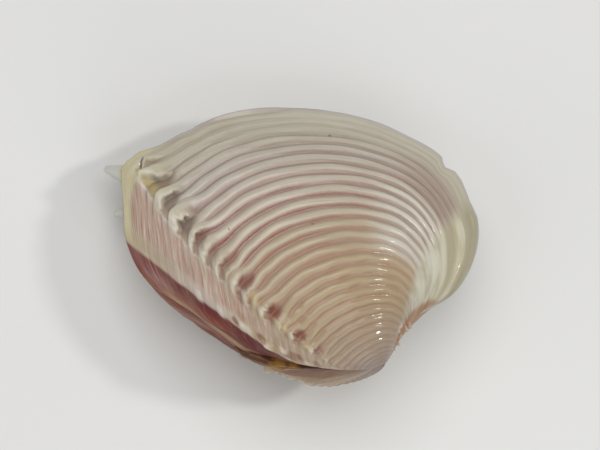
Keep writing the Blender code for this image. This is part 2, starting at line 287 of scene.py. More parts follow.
def ridge_step(size):
    """Difference in size between neighbouring ridges."""
    return RIDGE_STEP * (1 - np.exp(-size / RIDGE_REACH))


def ridge_size(number):
    """Size of the margin at a ridge."""
    reach = np.expm1(FIRST_RIDGE / RIDGE_REACH) * np.exp(-number * RIDGE_STEP / RIDGE_REACH)
    return RIDGE_REACH * np.log1p(reach)


def spread(weight, first, last, count):
    """Places from first to last that stand closer where the weight is larger."""
    fine = np.linspace(first, last, 4001)
    total = np.concatenate([[0], np.cumsum(weight((fine[1:] + fine[:-1]) / 2))])
    return np.interp(np.linspace(0, total[-1], count), total, fine)


def column_weight(around):
    """How close the columns stand round the margin."""
    extras = (weight * hump(around, place, side, power) for place, side, weight, power in COLUMN_FOCUS)
    return sum(extras, COLUMN_WEIGHT)


def ring_weight(size):
    """How close the rings stand from the margin to the beak."""
    return (RING_WEIGHT + RING_FOCUS * smooth(*RING_FOCUS_SIZES, size)) / ridge_step(size)


def groove_half_width(x):
    """Half width of the ligament's groove: a thin lens with a narrow slot on to the beaks."""
    reach = 1 - ((x - GROOVE_MIDDLE) / GROOVE_HALF_LENGTH) ** 2
    slot = SLOT_HALF_WIDTH * smooth(*SLOT_ENDS[0], x) * smooth(*SLOT_ENDS[1], x)
    return np.maximum(GROOVE_HALF_WIDTH * np.sqrt(np.maximum(reach, 0)), slot)


def open_valley(points, side):
    """Press the dorsal sides in near the hinge line, to a shallow valley."""
    line = outline(np.linspace(*VALLEY_PLACES, 200))
    x, y, z = points[..., 0], points[..., 1], np.abs(points[..., 2])
    deep, fall = knots(VALLEY_DEPTH, x), knots(VALLEY_FALL, x)
    level = np.interp(x, line[:, 0], line[:, 1]) - VALLEY_START - fall * z
    level += np.maximum(deep - VALLEY_SLOPE * z, 0)
    level += np.minimum(deep, 0) * smooth(*VALLEY_OPEN_Z, z)
    for end in VALLEY_ENDS:
        level -= VALLEY_END_DROP * smooth(*end, x)
    inside = (y - level) / VALLEY_EDGE
    soft = level + VALLEY_EDGE * np.log1p(np.exp(np.minimum(inside, FAR_INSIDE)))
    pressed = points.copy()
    pressed[..., 1] = np.where(inside > FAR_INSIDE, y, soft)
    pressed[..., 1] -= knots(LIP_BOW, x) * smooth(*LIP_BOW_Z, z) * smooth(*LIP_BOW_DEEP, y - level)
    if side < 0:
        inset = knots(RIGHT_INSET, x) * smooth(*RIGHT_INSET_Z, z) * smooth(*RIGHT_INSET_FAR_Z, z)
        pressed[..., 1] += inset * smooth(*RIGHT_INSET_DEEP, y - level)
    return pressed


def unit(vectors):
    """Vectors of length 1."""
    return vectors / np.linalg.norm(vectors, axis=-1, keepdims=True)


class Valve:
    """Grid of one valve with its relief. side is 1 for the left one and -1 for the right one."""

    def __init__(self, side, seed, dorsal):
        self.side = side
        self.seed = seed
        self.dorsal = dorsal
        self.columns = spread(column_weight, 0, POINTS, COLUMNS + 1)[:-1]
        sizes = spread(ring_weight, 1, LAST_RING, RINGS)
        self.around, self.size = np.meshgrid(self.columns, sizes)
        self.from_row = self.around - knots(ROW_PLACE, self.size)
        self.rear = smooth(*REAR_PLACES, self.around) * smooth(*REAR_EDGE, self.from_row)
        self.disc = smooth(*DISC_EDGE, self.from_row) * smooth(*DISC_END, self.around)
        self.lay_ridges()
        self.lay_base()
        self.raise_relief()

    def lay_ridges(self):
        """Number of the ridge at each point. Ridges draw together at the spine row."""
        plain = ridge_size(NUMBERS)
        row = plain.copy()
        first = -NUMBERS[0]
        row[first:first + len(ROW_SIZES)] = ROW_SIZES
        pull = smooth(*ROW_PULL, self.columns)
        rows = plain[:, None] + (row - plain)[:, None] * pull[None, :]
        wobble = RIDGE_WOBBLE * ripple(self.columns[None, :] * 0.5 + NUMBERS[:, None] * 0.37, self.seed)
        rows += wobble * smooth(0.1, 0.5, rows)
        self.phase = np.empty_like(self.size)
        for column in range(self.size.shape[1]):
            self.phase[:, column] = np.interp(-self.size[:, column], -rows[:, column], NUMBERS)
        index = np.clip(np.floor(self.phase).astype(int) - NUMBERS[0], 0, len(NUMBERS) - 2)
        column = np.broadcast_to(np.arange(self.size.shape[1]), self.size.shape)
        gap = rows[index, column] - rows[index + 1, column]
        self.gather = np.clip(gap / (plain[index] - plain[index + 1]), 0, MOST_GATHER)

    def lay_base(self):
        """Smooth valve: points, outward normals, growth direction and width of a ridge."""
        size = self.size * (1 - chip_depth(self.around) * smooth(*CHIP_SIZES, self.size))
        flat, ahead, behind = (
            np.broadcast_to(outline(self.columns + step), size.shape + (2,))
            for step in (0, SLOPE_STEP, -SLOPE_STEP)
        )
        across = grown(ahead, size) - grown(behind, size)
        along = grown(flat, size * (1 + SLOPE_STEP)) - grown(flat, size * (1 - SLOPE_STEP))
        along /= 2 * SLOPE_STEP * size[..., None]
        self.base = grown(flat, size)
        self.normal = unit(np.cross(across, along))
        self.along = unit(along)
        self.wave = np.linalg.norm(along, axis=-1) * ridge_step(self.size)

    def raise_relief(self):
        """Lift the ridges, fine lines, folds and spines off the smooth valve."""
        around, size = self.around, self.size
        lift = self.ridges()
        lift += LAMELLA_HEIGHT * self.rear * size ** 0.5 * self.lamellae()
        front = smooth(*FRONT_BEGINS, around) * smooth(*FRONT_ENDS, around) * smooth(*FRONT_SIZES, size)
        swell = ripple(self.phase * 0.3 + 0.1 * around, 17, 0.8, 1.6, 4)
        lift += FRONT_SWELL * front * swell * smooth(1, 0.96, size)
        for place, side, height in FOLDS:
            lift += size * height * hump(around, place, side)
        lift += self.broken_spines()
        self.flare = np.zeros_like(size)
        for at, place, height, reach in self.dorsal + LUNULE_POINTS:
            knob = dome(around, place, KNOB_SIDE) * dome(size, at, reach)
            lift += height * knob
            self.flare = np.maximum(self.flare, np.clip(1.5 * knob, 0, 1))
        points = self.base + lift[..., None] * self.normal - (OVERHANG * self.scales)[..., None] * self.along
        points = self.keep_apart(points)
        before = points
        if self.side < 0:
            for spine in LONG_SPINES:
                points = self.draw_out(points, *spine)
        self.spine = np.clip(np.linalg.norm(points - before, axis=-1) / 0.8, 0, 1)
        self.points = points

    def ridges(self):
        """Lift of the growth ridges, with broad round crests and narrow grooves."""
        around, size = self.around, self.size
        share = self.phase - np.floor(self.phase)
        from_crest = 2 * np.minimum(share, 1 - share)
        fade = np.clip((1 - size) / MARGIN_FADE, LEAST_FADE, 1)
        calm = smooth(*CALM_SIZES, size) * smooth(*CALM_PLACES, around)
        young = smooth(*YOUNG_SIZES, size)
        young *= YOUNG_STRENGTH + YOUNG_MORE * smooth(*YOUNG_PLACES, around)
        young *= smooth(*YOUNG_REAR, around) * smooth(*YOUNG_FRONT, around)
        strength = np.maximum(knots(RIDGE_STRENGTH, around), young)
        self.ridged = strength * (1 - CALM_SHARE * calm)
        high = RIDGE_HEIGHT * self.wave * self.ridged * fade
        return high * (1 - 2 * self.gather ** GATHER_POWER * from_crest ** CREST_POWER)

    def lamellae(self):
        """Fine uneven growth lines, as a signal from -1 to 1."""
        line = self.phase + 0.3 * (self.around - 7)
        return 0.6 * ripple(line, self.seed + 5, 1.6, 3.4) + 0.4 * ripple(line, self.seed + 6, 0.5, 1.5)

    def broken_spines(self):
        """Lift of the main row's plates, with torn edges over open hollows."""
        height, low, edge, crack, hollow, white = (np.zeros_like(self.size) for _ in range(6))
        beside, root = self.from_row, self.size ** 0.5
        for number, slant, length, tall, dark in SCALES:
            torn = ripple(self.around * 1.3 + number, self.seed + 9)
            lean = self.phase - number - slant * np.clip(beside + 0.2, 0, 0.7) + TORN_UNEVEN * torn
            reach = smooth(-0.5, -0.2, beside) * smooth(0.95, 0.3, beside)
            plate = np.where(lean < 0, hump(lean, 0, 0.8, 1.6), smooth(0.2, 0, lean))
            height = np.maximum(height, tall * root * plate * reach * (1 - 0.3 * np.abs(torn)))
            # The hollow is a funnel between two edges that draw together away from the plate.
            deep = np.clip(lean / length, 0, 1)
            first, last = 0.08 * deep - 0.34, 0.75 - 0.75 * deep ** 1.5
            under = smooth(first - 0.06, first + 0.08, beside) * smooth(last + 0.3, last - 0.15, beside)
            under *= smooth(0.02, 0.2, lean) * smooth(1, 0.75, lean / length)
            # Painted shade over the hollow under each plate, as strong as that plate's darkness.
            hollow = np.maximum(hollow, dark * under)
            fold = hump(beside, first - 0.04, 0.1, 1) * smooth(-0.5, 0, lean)
            fold *= smooth(1.1, 0.3, lean / length)
            low = np.maximum(low, tall * root * (HOLLOW_DEPTH * under - FOLD_RISE * fold))
            edge = np.maximum(edge, tall ** 0.5 * hump(lean, -0.05, 0.13, 0.7) * reach)
            # Painted shadow: a thin dark line just behind each torn edge, where the overhanging plate shades
            # the hollow.
            line = smooth(0.02, 0.06, lean) * smooth(0.18, 0.12, lean)
            line *= smooth(0, 0.25, beside) * smooth(0.7, 0.4, beside)
            line = 0.9 * line * smooth(0.4, 0.7, tall) * np.clip(0.8 + 0.6 * torn, 0, 1)
            crack = np.maximum(crack, line)
            tip = hump(beside, -0.03, 0.28, 0.8) * hump(lean, -0.2, 0.5, 0.8)
            white = np.maximum(white, tall ** 0.5 * np.maximum(tip, 0.8 * fold))
        if self.side > 0:
            along, across, length = self.from_split()
            within = smooth(-0.1, 0.3, along) * smooth(length + 0.2, 2.8, along)
            raised = SPLIT_HEIGHT * within * smooth(-0.05, 0.1, across)
            height += raised * np.exp(-np.maximum(across, 0) / 0.8)
            # Along the split the dark line is partly the split itself and partly painted shadow beside its
            # raised side.
            crack = np.maximum(crack, within * smooth(-0.32, -0.2, across) * smooth(0.04, -0.04, across))
            edge = np.maximum(edge, within * hump(across, 0.15, 0.15, 0.7))
        self.edge, self.crack, self.white = np.clip([edge, crack, white], 0, 1)
        self.hollow, self.scales = hollow, height
        return height - low

    def from_split(self):
        """Distances along and across the split, and its length."""
        start, end = (np.array(point) * SPLIT_SCALE for point in SPLIT)
        length = np.linalg.norm(end - start)
        run = (end - start) / length
        x, y = self.around * SPLIT_SCALE[0] - start[0], self.size * SPLIT_SCALE[1] - start[1]
        along, across = x * run[0] + y * run[1], x * run[1] - y * run[0]
        return along, across + 0.08 * ripple(along * 0.8, 31), length

    def keep_apart(self, points):
        """Open the valley between the beaks, and lift points off the meeting plane."""
        points = open_valley(points, self.side)
        gap = RIM_GAP + (BEAK_GAP - RIM_GAP) * smooth(*BEAK_GAP_SIZES, self.size)
        least = gap + groove_half_width(points[..., 0])
        points[..., 2] = np.maximum(points[..., 2] + RIM_GAP, least)
        return points

    def draw_out(self, points, size, length, base_radius, tip_radius, heading):
        """Draw the wall out into a long blunt spine. The valve is still drawn as a left one here."""
        heading = unit(np.array(heading) * (1, 1, -1))
        foot, next_foot = grown(outline(np.full(2, SPINE_CORNER)), np.array([size, size + SLOPE_STEP]))
        across = unit(np.cross(heading, next_foot - foot))
        along = np.cross(across, heading)
        offset = points - foot
        radius = np.sqrt((offset @ along) ** 2 + (offset @ across / SPINE_FLATNESS) ** 2)
        places, sizes = SPINE_ROOM
        near = (np.abs(self.around - SPINE_CORNER) < places) & (np.abs(self.size - size) < sizes)
        cone = length * np.clip((base_radius - radius) / (base_radius - tip_radius), 0, 1)
        cap = tip_radius * np.sqrt(np.clip(1 - (radius / tip_radius) ** 2, 0, 1)) * BLUNTNESS
        target = cone * (1 - BLUNTNESS * tip_radius / length) + cap
        rise = np.maximum(target - offset @ heading, 0) * near * (radius < base_radius)
        return points + rise[..., None] * heading


def chip_depth(around):
    """Depth of the chips in the margin, as a share of its size."""
    return sum(depth * hump(around, place, width, CHIP_POWER) for place, depth, width in CHIPS)


def inner_rings(valve):
    """Rings of a valve's rim and cavity, from the lip inwards."""
    outer = outline(valve.columns)
    spokes = outer - SECTION_CENTRE
    reach = np.linalg.norm(spokes, axis=1)
    inner = SECTION_CENTRE + spokes * (1 - knots(RIM_WIDTH, valve.columns) / reach)[:, None]
    lip = 1 - chip_depth(valve.columns)
    rings = [grown(outer + share * (inner - outer), lip) for share in RIM_SHARES]
    for size in np.linspace(1, CAVITY_END, INNER_RINGS):
        flat = SECTION_CENTRE + knots(CAVITY, size) * (inner - SECTION_CENTRE)
        rings.append(grown(flat, np.full(len(flat), size)))
    for ring in rings:
        ring[:, 2] = np.maximum(ring[:, 2], 0) + RIM_GAP
    return rings


def placed(points):
    """Points in the part's frame, inside the model's box, from points in the shell's own frame."""
    turn = Euler((REST_ROLL, REST_PITCH, 0)).to_matrix().to_4x4()
    matrix = np.array(Matrix.Translation(REST_PLACE * MM) @ turn @ Matrix.Scale(MM, 4))
    moved = points @ matrix[:3, :3].T + matrix[:3, 3]
    return np.clip(moved, cad_low, cad_high)


def add_object(name, data):
    """New object, in the scene."""
    thing = bpy.data.objects.new(name, data)
    bpy.context.scene.collection.objects.link(thing)
    return thing


def make_mesh(name, points, faces, values):
    """Smooth mesh with a number at each vertex for every named value."""
    mesh = bpy.data.meshes.new(name)
    mesh.from_pydata(points.tolist(), [], faces)
    for key, numbers in values.items():
        attribute = mesh.attributes.new(key, "FLOAT", "POINT")
        attribute.data.foreach_set("value", np.asarray(numbers, np.float32))
    mesh.shade_smooth()
    mesh.update()
    return add_object(name, mesh)


def grid_faces(rows, columns, first=0):
    """Quads between rings of equal count."""
    starts, steps = first + np.arange(rows - 1)[:, None] * columns, np.arange(columns)[None, :]
    low, next_low = starts + steps, starts + (steps + 1) % columns
    quads = np.stack([low, low + columns, next_low + columns, next_low], axis=-1)
    return quads.reshape(-1, 4).tolist()


def valve_piece(name, valve, values):
    """Closed mesh of a valve: cavity, rim and outside."""
    columns = valve.size.shape[1]
    inner = inner_rings(valve)[::-1]
    deepest = inner[0].mean(axis=0)
    beak = valve.points[-1].mean(axis=0)
    points = np.vstack([deepest[None]] + inner + [valve.points.reshape(-1, 3), beak[None]])
    points[:, 2] *= valve.side
    rows = len(inner) + valve.size.shape[0]
    faces = grid_faces(rows, columns, 1)
    last = 1 + (rows - 1) * columns
    for j in range(columns):
        k = (j + 1) % columns
        faces.append([0, 1 + j, 1 + k])
        faces.append([last + j, len(points) - 1, last + k])
    if valve.side > 0:
        faces = [face[::-1] for face in faces]
    inside = len(inner) * columns + 1
    full = {"inside": np.arange(len(points)) < inside}
    for key, grid in values.items():
        full[key] = np.concatenate([np.zeros(inside), grid.ravel(), [grid[-1, 0]]])
    return make_mesh(name, placed(points), faces, full)


# ---- numbers for the valves' colours

# Dark red lines in the grooves: ridge number, strength and where each ends.
RED_LINES = (
    (5, 0.35, 10.6), (6, 0.3, 11), (7, 1, 11.6), (8, 0.95, 13.2), (9, 0.9, 13.1), (10, 0.75, 12.2),
    (11, 0.5, 11.6), (12, 0.3, 11), (13, 0.2, 10.5),
)
# Red-brown stains in the hollows beside the main row: ridge number, place, half width, half
# height and strength. Each has a longer tail on its front side.
STAINS = (
    (11.55, 8.36, 0.5, 0.36, 1), (14.47, 8.42, 0.45, 0.42, 1), (17.4, 8.45, 0.42, 0.5, 0.85),
    (19.5, 8.45, 0.4, 0.4, 0.55), (9.42, 8.45, 0.6, 0.3, 0.6), (8.4, 8.4, 0.5, 0.2, 0.35),
    (7.4, 8.25, 0.5, 0.2, 0.55), (11.55, 7.45, 0.25, 0.3, 0.6), (14.47, 7.7, 0.22, 0.35, 0.4),
    (17.4, 7.75, 0.28, 0.4, 0.4),
)
STAIN_TAIL = 1.3
# Stains beside the dorsal spines: size, place, half length, half width and strength.
DORSAL_STAINS = (
    (0.37, 6.12, 0.035, 0.25, 0.55), (0.562, 6.2, 0.016, 0.2, 0.8), (0.468, 6.25, 0.02, 0.25, 0.9),
    (0.342, 6.48, 0.03, 0.3, 0.7), (0.265, 6.75, 0.02, 0.35, 0.5), (0.535, 6.65, 0.02, 0.2, 0.25),
)
# Yellow spots on the main row: ridge number and place, and the half widths of them all.
YELLOWS = ((12.6, 8.15), (13.1, 8), (16, 8.05), (18.5, 8.1))
YELLOW_PLACES, YELLOW_RIDGES = 0.32, 0.6
# Dark specks: place and size.
SPECKS = ((9.25, 0.662), (11.43, 0.567), (12.12, 0.873))
# Where the dark dorsal area, the yellow margin and the lunule end.
DORSAL_EDGE = ((0, 5), (0.3, 5.4), (0.42, 5.7), (0.5, 5.9), (0.6, 6), (0.75, 6.02), (1, 6.05))
YELLOW_EDGE = (
    (6, 0.968), (7, 0.966), (7.5, 0.95), (7.9, 0.925), (8.1, 0.925), (8.35, 0.955), (8.5, 0.975),
    (9, 1),
)
LUNULE_EDGE = (
    (0.2, 15.3), (0.3, 15.75), (0.36, 16.05), (0.45, 16.5), (0.65, 17), (0.75, 17.3), (0.9, 17.7),
    (1, 17.9),
)
# White cord above the dark dorsal area.
CORD_FRONT, CORD_SIZES = (6.55, 6.36), (0.55, 0.62)
# The wine colour is a streak under the cord, the rear end beside the ligament and the lips.
STREAK_UNDER, STREAK_SIZES = (0.7, 0.3), (0.9, 0.78)
STREAK_PALER, STREAK_PALE_SIZES = 0.35, (0.72, 0.62)
WINE_YOUNG, WINE_YOUNG_FROM = (0.66, 0.56), (2, 2.8)
WINE_FURTHER, WINE_FURTHER_PLACES = 0.18, (5.2, 4.6)
WINE_LIP, WINE_LIP_FROM = (3.4, 2.9), (1, 1.8)
# Patches that fade out on all sides: the two ends round the margin and the two in size.
AMBER = ((2.9, 3.4), (5.3, 5.05), (0.75, 0.85), (0.96, 0.88))
MAUVE = ((13, 14.5), (15.4, 14.8), (0.72, 0.76), (0.95, 0.84))
# The third patch is a painted highlight: it whitens the crests where the light's broad sheen falls.
CREST_SHEEN = ((12.6, 13.8), (15.4, 15.1), (0.44, 0.52), (0.75, 0.73))
# Grooves show less in young growth towards the front.
PLAIN_SHARE, PLAIN_PLACES, PLAIN_SIZES = 0.35, (11, 13.5), (0.6, 0.52)

# What the material reads from the valve as it is.
PLAIN_VALUES = (
    "around", "size", "phase", "gather", "disc", "from_row", "flare", "edge", "crack", "hollow", "white",
    "spine",
)


def patch(valve, begins, ends, inner, outer):
    """Patch that fades out at both ends, round the margin and in size."""
    across = smooth(*begins, valve.around) * smooth(*ends, valve.around)
    return across * smooth(*inner, valve.size) * smooth(*outer, valve.size)


def red_lines(valve):
    """Strength of the dark red lines in the grooves."""
    around, ridge = valve.around, np.floor(valve.phase)
    red = 0 * valve.size
    for number, strength, end in RED_LINES:
        here = smooth(end + 0.12, end - 0.2, around) * (1 - 0.35 * smooth(9.5, end, around))
        red = np.maximum(red, strength * here * (ridge == number))
    uneven = 0.9 + 0.2 * ripple(around * 1.7 + ridge, valve.seed + 11)
    return np.clip(red * smooth(-0.1, 0.25, valve.from_row) * uneven, 0, 1)


def stains(valve):
    """Strength of the red-brown stains beside the main row and the dorsal spines."""
    around, size = valve.around, valve.size
    stain = 0 * size
    for number, place, width, tall, strength in STAINS:
        aside = np.where(around > place, (around - place) / (STAIN_TAIL * width), (place - around) / width)
        far = aside ** 2 + ((valve.phase - number) / tall) ** 2
        stain = np.maximum(stain, strength * smooth(1.4, 0.15, far))
    for at, place, length, width, strength in DORSAL_STAINS:
        far = ((around - place) / width) ** 2 + ((size - at) / length) ** 2
        stain = np.maximum(stain, strength * smooth(1.1, 0.3, far))
    return stain


def yellow_spots(valve):
    """Strength of the yellow spots on the main row."""
    yellow = hump(valve.from_row, 0, 0.35, 1) * hump(valve.phase, 2.9, YELLOW_RIDGES, 1) * 0.6
    for number, place in YELLOWS:
        spot = hump(valve.around, place, YELLOW_PLACES, 1) * hump(valve.phase, number, YELLOW_RIDGES, 1)
        yellow = np.maximum(yellow, spot)
    return yellow


def dorsal_values(valve):
    """The dark dorsal area, its wine and amber parts, a painted lilac sheen on it, and the cord above it."""
    around, size = valve.around, valve.size
    edge = knots(DORSAL_EDGE, size) + 0.015 * ripple(size * 5, 15)
    wine = smooth(0, 0.1, edge - around) * smooth(*STREAK_UNDER, edge - around)
    wine *= smooth(*STREAK_SIZES, size)
    wine *= 1 - STREAK_PALER * smooth(*STREAK_PALE_SIZES, size)
    further = WINE_FURTHER * smooth(*WINE_FURTHER_PLACES, around)
    young = smooth(WINE_YOUNG[0] + further, WINE_YOUNG[1] + further, size)
    wine = np.maximum(wine, young * smooth(*WINE_YOUNG_FROM, around))
    wine = np.maximum(wine, smooth(*WINE_LIP, around) * smooth(*WINE_LIP_FROM, around))
    cord = smooth(edge - 0.05, edge + 0.05, around) * smooth(*CORD_FRONT, around)
    return {
        "cord": cord * smooth(*CORD_SIZES, size),
        "dorsal": smooth(edge + 0.08, edge - 0.1, around) * smooth(0.2, 2, around),
        "wine": wine,
        "amber": patch(valve, *AMBER),
        # Painted highlight: where light lilac streaks of sheen lie on the dorsal area near the margin.
        "lilac_sheen": hump(around, 5.5, 0.45, 1) * smooth(0.82, 0.87, size) * smooth(0.985, 0.95, size),
    }


def valve_values(valve):
    """Numbers at each vertex that the shell's material reads."""
    around, size = valve.around, valve.size
    margin = knots(YELLOW_EDGE, around)
    margin = smooth(margin - 0.01, margin + 0.012, size) * smooth(6, 6.4, around)
    if valve.side < 0:
        margin = 0.5 * margin
    lunule_edge = knots(LUNULE_EDGE, size)
    lunule = smooth(lunule_edge - 0.2, lunule_edge + 0.1, around) * smooth(1, 0.9, size)
    lunule += smooth(1, 0.2, around)
    plain = 1 - PLAIN_SHARE * smooth(*PLAIN_PLACES, around) * smooth(*PLAIN_SIZES, size)
    tail = smooth(6.7, 7.5, around) * smooth(0, -0.2, valve.from_row)
    return {
        **{name: getattr(valve, name) for name in PLAIN_VALUES}, **dorsal_values(valve),
        "ridged": np.clip(valve.ridged * 1.2, 0, 1) * plain,
        "scale": np.clip(valve.scales / 0.5, 0, 1),
        "rear": valve.rear * (1 - margin),
        "red": red_lines(valve), "stain": stains(valve), "yellow": yellow_spots(valve),
        "front": smooth(14.8, 15.4, around) * smooth(lunule_edge + 0.3, lunule_edge - 0.1, around),
        "lunule": np.clip(lunule, 0, 1), "margin": margin,
        "mauve": patch(valve, *MAUVE), "crest_sheen": patch(valve, *CREST_SHEEN),
        "tail": tail * hump(valve.phase % 1, 0.9, 0.25, 0.8),
    }


# ---- materials


class Shader:
    """Node tree of a material, with short calls for its nodes."""

    def __init__(self, name):
        self.material = bpy.data.materials.new(name)
        self.material.use_nodes = True
        self.tree = self.material.node_tree
        self.surface = self.tree.nodes["Principled BSDF"]

    def put(self, socket, value):
        if isinstance(value, bpy.types.NodeSocket):
            self.tree.links.new(value, socket)
        else:
            socket.default_value = (*value, 1) if isinstance(value, tuple) else value

    def set(self, name, value):
        self.put(self.surface.inputs[name], value)

    def node(self, kind, **inputs):
        node = self.tree.nodes.new("ShaderNode" + kind)
        for name, value in inputs.items():
            self.put(node.inputs[name], value)
        return node

    def value(self, name):
        node = self.node("Attribute")
        node.attribute_name = name
        return node.outputs["Fac"]

    def part(self, name, share):
        return self.times(self.value(name), share)

    def math(self, operation, a, b=0):
        node = self.node("Math")
        node.operation = operation
        self.put(node.inputs[0], a)
        self.put(node.inputs[1], b)
        return node.outputs[0]

    def times(self, a, b):
        return self.math("MULTIPLY", a, b)

    def plus(self, a, b):
        return self.math("ADD", a, b)

    def mix(self, factor, a, b, blend="MIX"):
        node = self.node("Mix", Factor=factor)
        node.data_type = "RGBA"
        node.blend_type = blend
        self.put(node.inputs[6], a)
        self.put(node.inputs[7], b)
        return node.outputs[2]

    def layers(self, colour, *covers):
        """The colour, with each (share, colour) pair laid over it in turn."""
        for share, other in covers:
            colour = self.mix(share, colour, other)
        return colour

    def ramp(self, value, stops):
        node = self.node("ValToRGB", Fac=value)
        bar = node.color_ramp
        bar.interpolation = "EASE"
        while len(bar.elements) < len(stops):
            bar.elements.new(0.5)
        for element, (place, colour) in zip(bar.elements, stops):
            element.position = place
            element.color = (*colour, 1) if isinstance(colour, tuple) else (colour, colour, colour, 1)
        return node.outputs["Color"]

    def noise(self, vector, scale, detail, rough):
        node = self.node("TexNoise", Vector=vector, Scale=scale, Detail=detail, Roughness=rough)
        return node.outputs["Fac"]

    def streaks(self, across, along, detail, rough):
        """Noise over two (value, scale) pairs, drawn out where the scale is small."""
        node = self.node("CombineXYZ", X=self.times(*across), Y=self.times(*along))
        return self.noise(node.outputs[0], 1, detail, rough)

    def place(self):
        return self.node("TexCoord").outputs["Object"]

    def bump(self, height, distance):
        return self.node("Bump", Strength=1, Distance=distance, Height=height).outputs["Normal"]


# Where the groove's colour shows between one crest and the next, and tints of streaks and lines.
GROOVE_PROFILE = ((0, 0), (0.15, 0.1), (0.36, 0.95), (0.56, 0.95), (0.78, 0.3), (0.93, 0))
STREAK_TINTS = ((0.35, (0.8, 0.75, 0.74)), (0.6, (1, 1, 1)))
LINE_TINTS = ((0.36, (0.88, 0.84, 0.81)), (0.5, (1, 1, 1)), (0.66, (1.06, 1.06, 1.04)))
# Colours of the crests, of the grooves between them and of the front, by size.
CREST_COLOURS = (
    (0.05, (0.31, 0.245, 0.225)), (0.22, (0.39, 0.295, 0.195)), (0.35, (0.44, 0.34, 0.2)),
    (0.45, (0.48, 0.38, 0.235)), (0.53, (0.5, 0.42, 0.29)), (0.6, (0.56, 0.5, 0.38)),
    (0.7, (0.6, 0.545, 0.445)), (0.8, (0.58, 0.535, 0.45)), (0.88, (0.565, 0.525, 0.41)),
    (1, (0.58, 0.55, 0.42)),
)
GROOVE_COLOURS = (
    (0.05, (0.29, 0.21, 0.185)), (0.22, (0.34, 0.22, 0.145)), (0.35, (0.36, 0.22, 0.13)),
    (0.45, (0.35, 0.19, 0.12)), (0.55, (0.36, 0.2, 0.135)), (0.65, (0.36, 0.225, 0.175)),
    (0.71, (0.365, 0.245, 0.2)), (0.8, (0.355, 0.275, 0.235)), (0.88, (0.42, 0.36, 0.29)),
    (1, (0.5, 0.44, 0.33)),
)
# The front's colours are partly painted shade: darker than the shell's own colour where it turns from the
# light.
FRONT_COLOURS = (
    (0.33, (0.47, 0.42, 0.35)), (0.48, (0.57, 0.545, 0.43)), (0.58, (0.6, 0.585, 0.47)),
    (0.71, (0.62, 0.585, 0.43)), (0.77, (0.49, 0.44, 0.28)), (0.84, (0.56, 0.5, 0.275)),
    (0.9, (0.42, 0.37, 0.215)), (0.96, (0.36, 0.325, 0.21)),
)
# Colours of the fine lines between the two rows of spines, on the mauve patch and on the lunule.
REAR_COLOURS = (
    (0.32, (0.36, 0.195, 0.145)), (0.44, (0.47, 0.31, 0.235)), (0.55, (0.53, 0.38, 0.295)),
    (0.68, (0.64, 0.55, 0.42)),
)
MAUVE_COLOURS = ((0.4, (0.27, 0.17, 0.14)), (0.6, (0.38, 0.28, 0.215)))
LUNULE_COLOURS = ((0.35, (0.29, 0.115, 0.035)), (0.65, (0.42, 0.23, 0.1)))
# Colours of the dark dorsal area from the lips to the cord, and of the right valve's pale one and
# the cord by size.
BAND_SPAN = 7
BAND_COLOURS = (
    (0.3, (0.32, 0.14, 0.08)), (0.62, (0.3, 0.1, 0.04)), (0.7, (0.27, 0.075, 0.025)),
    (0.76, (0.24, 0.05, 0.015)), (0.84, (0.22, 0.045, 0.03)),
)
PALE_COLOURS = (
    (0.27, (0.54, 0.39, 0.26)), (0.42, (0.44, 0.3, 0.26)), (0.54, (0.19, 0.055, 0.06)),
    (0.9, (0.19, 0.045, 0.045)),
)
CORD_COLOURS = (
    (0.62, (0.5, 0.43, 0.355)), (0.75, (0.53, 0.44, 0.36)), (0.84, (0.5, 0.39, 0.27)),
    (1, (0.54, 0.44, 0.27)),
)
SPECK_SCALES = (30, 280)


class ShellShader(Shader):
    """Material of a valve, with the values and noises that its parts share."""

    def __init__(self, name):
        super().__init__(name)
        self.around, self.size, self.phase = self.value("around"), self.value("size"), self.value("phase")
        self.streak = self.lines(0.7, 2.2, 4, 0.6)
        self.fine = self.lines(1.1, 7, 3, 0.55)
        self.cloud = self.noise(self.place(), 220, 3, 0.5)

    def lines(self, around_scale, phase_scale, detail, rough):
        """Noise that follows the growth lines."""
        return self.streaks((self.around, around_scale), (self.phase, phase_scale), detail, rough)


def grooves(s):
    """Cream crests and mauve or rusty grooves, with a few dark red and light lines."""
    uneven = s.math("SUBTRACT", s.lines(9, 1.2, 2, 0.5), 0.5)
    share = s.math("FRACT", s.plus(s.phase, s.times(uneven, 0.08)))
    # Where the painted highlight lies, the crests are painted whiter and the grooves less rusty.
    crest = s.mix(s.value("crest_sheen"), s.ramp(s.size, CREST_COLOURS), (0.68, 0.645, 0.565))
    trough = s.mix(s.value("crest_sheen"), s.ramp(s.size, GROOVE_COLOURS), (0.34, 0.255, 0.2))
    groove = s.times(s.ramp(share, GROOVE_PROFILE), s.ramp(s.value("gather"), ((0.35, 0.1), (0.8, 1))))
    groove = s.times(groove, s.value("ridged"))
    groove = s.times(groove, s.ramp(s.streak, ((0.3, 0.75), (0.6, 1))))
    colour = s.mix(groove, crest, trough)
    colour = s.mix(0.35, colour, s.ramp(s.streak, STREAK_TINTS), "MULTIPLY")
    colour = s.mix(s.ramp(s.size, ((0.4, 0.4), (0.75, 0.8))), colour, s.ramp(s.fine, LINE_TINTS), "MULTIPLY")
    red = s.value("red")
    red_line = s.ramp(share, ((0.355, 0), (0.4, 1), (0.46, 1), (0.5, 0)))
    light_line = s.ramp(share, ((0.5, 0), (0.54, 0.8), (0.57, 0.8), (0.63, 0)))
    light_line = s.times(light_line, s.plus(s.times(red, 0.7), 0.2))
    return s.layers(
        colour,
        (s.times(red_line, red), (0.25, 0.075, 0.065)),
        (s.times(light_line, s.value("disc")), (0.62, 0.49, 0.41)),
    )


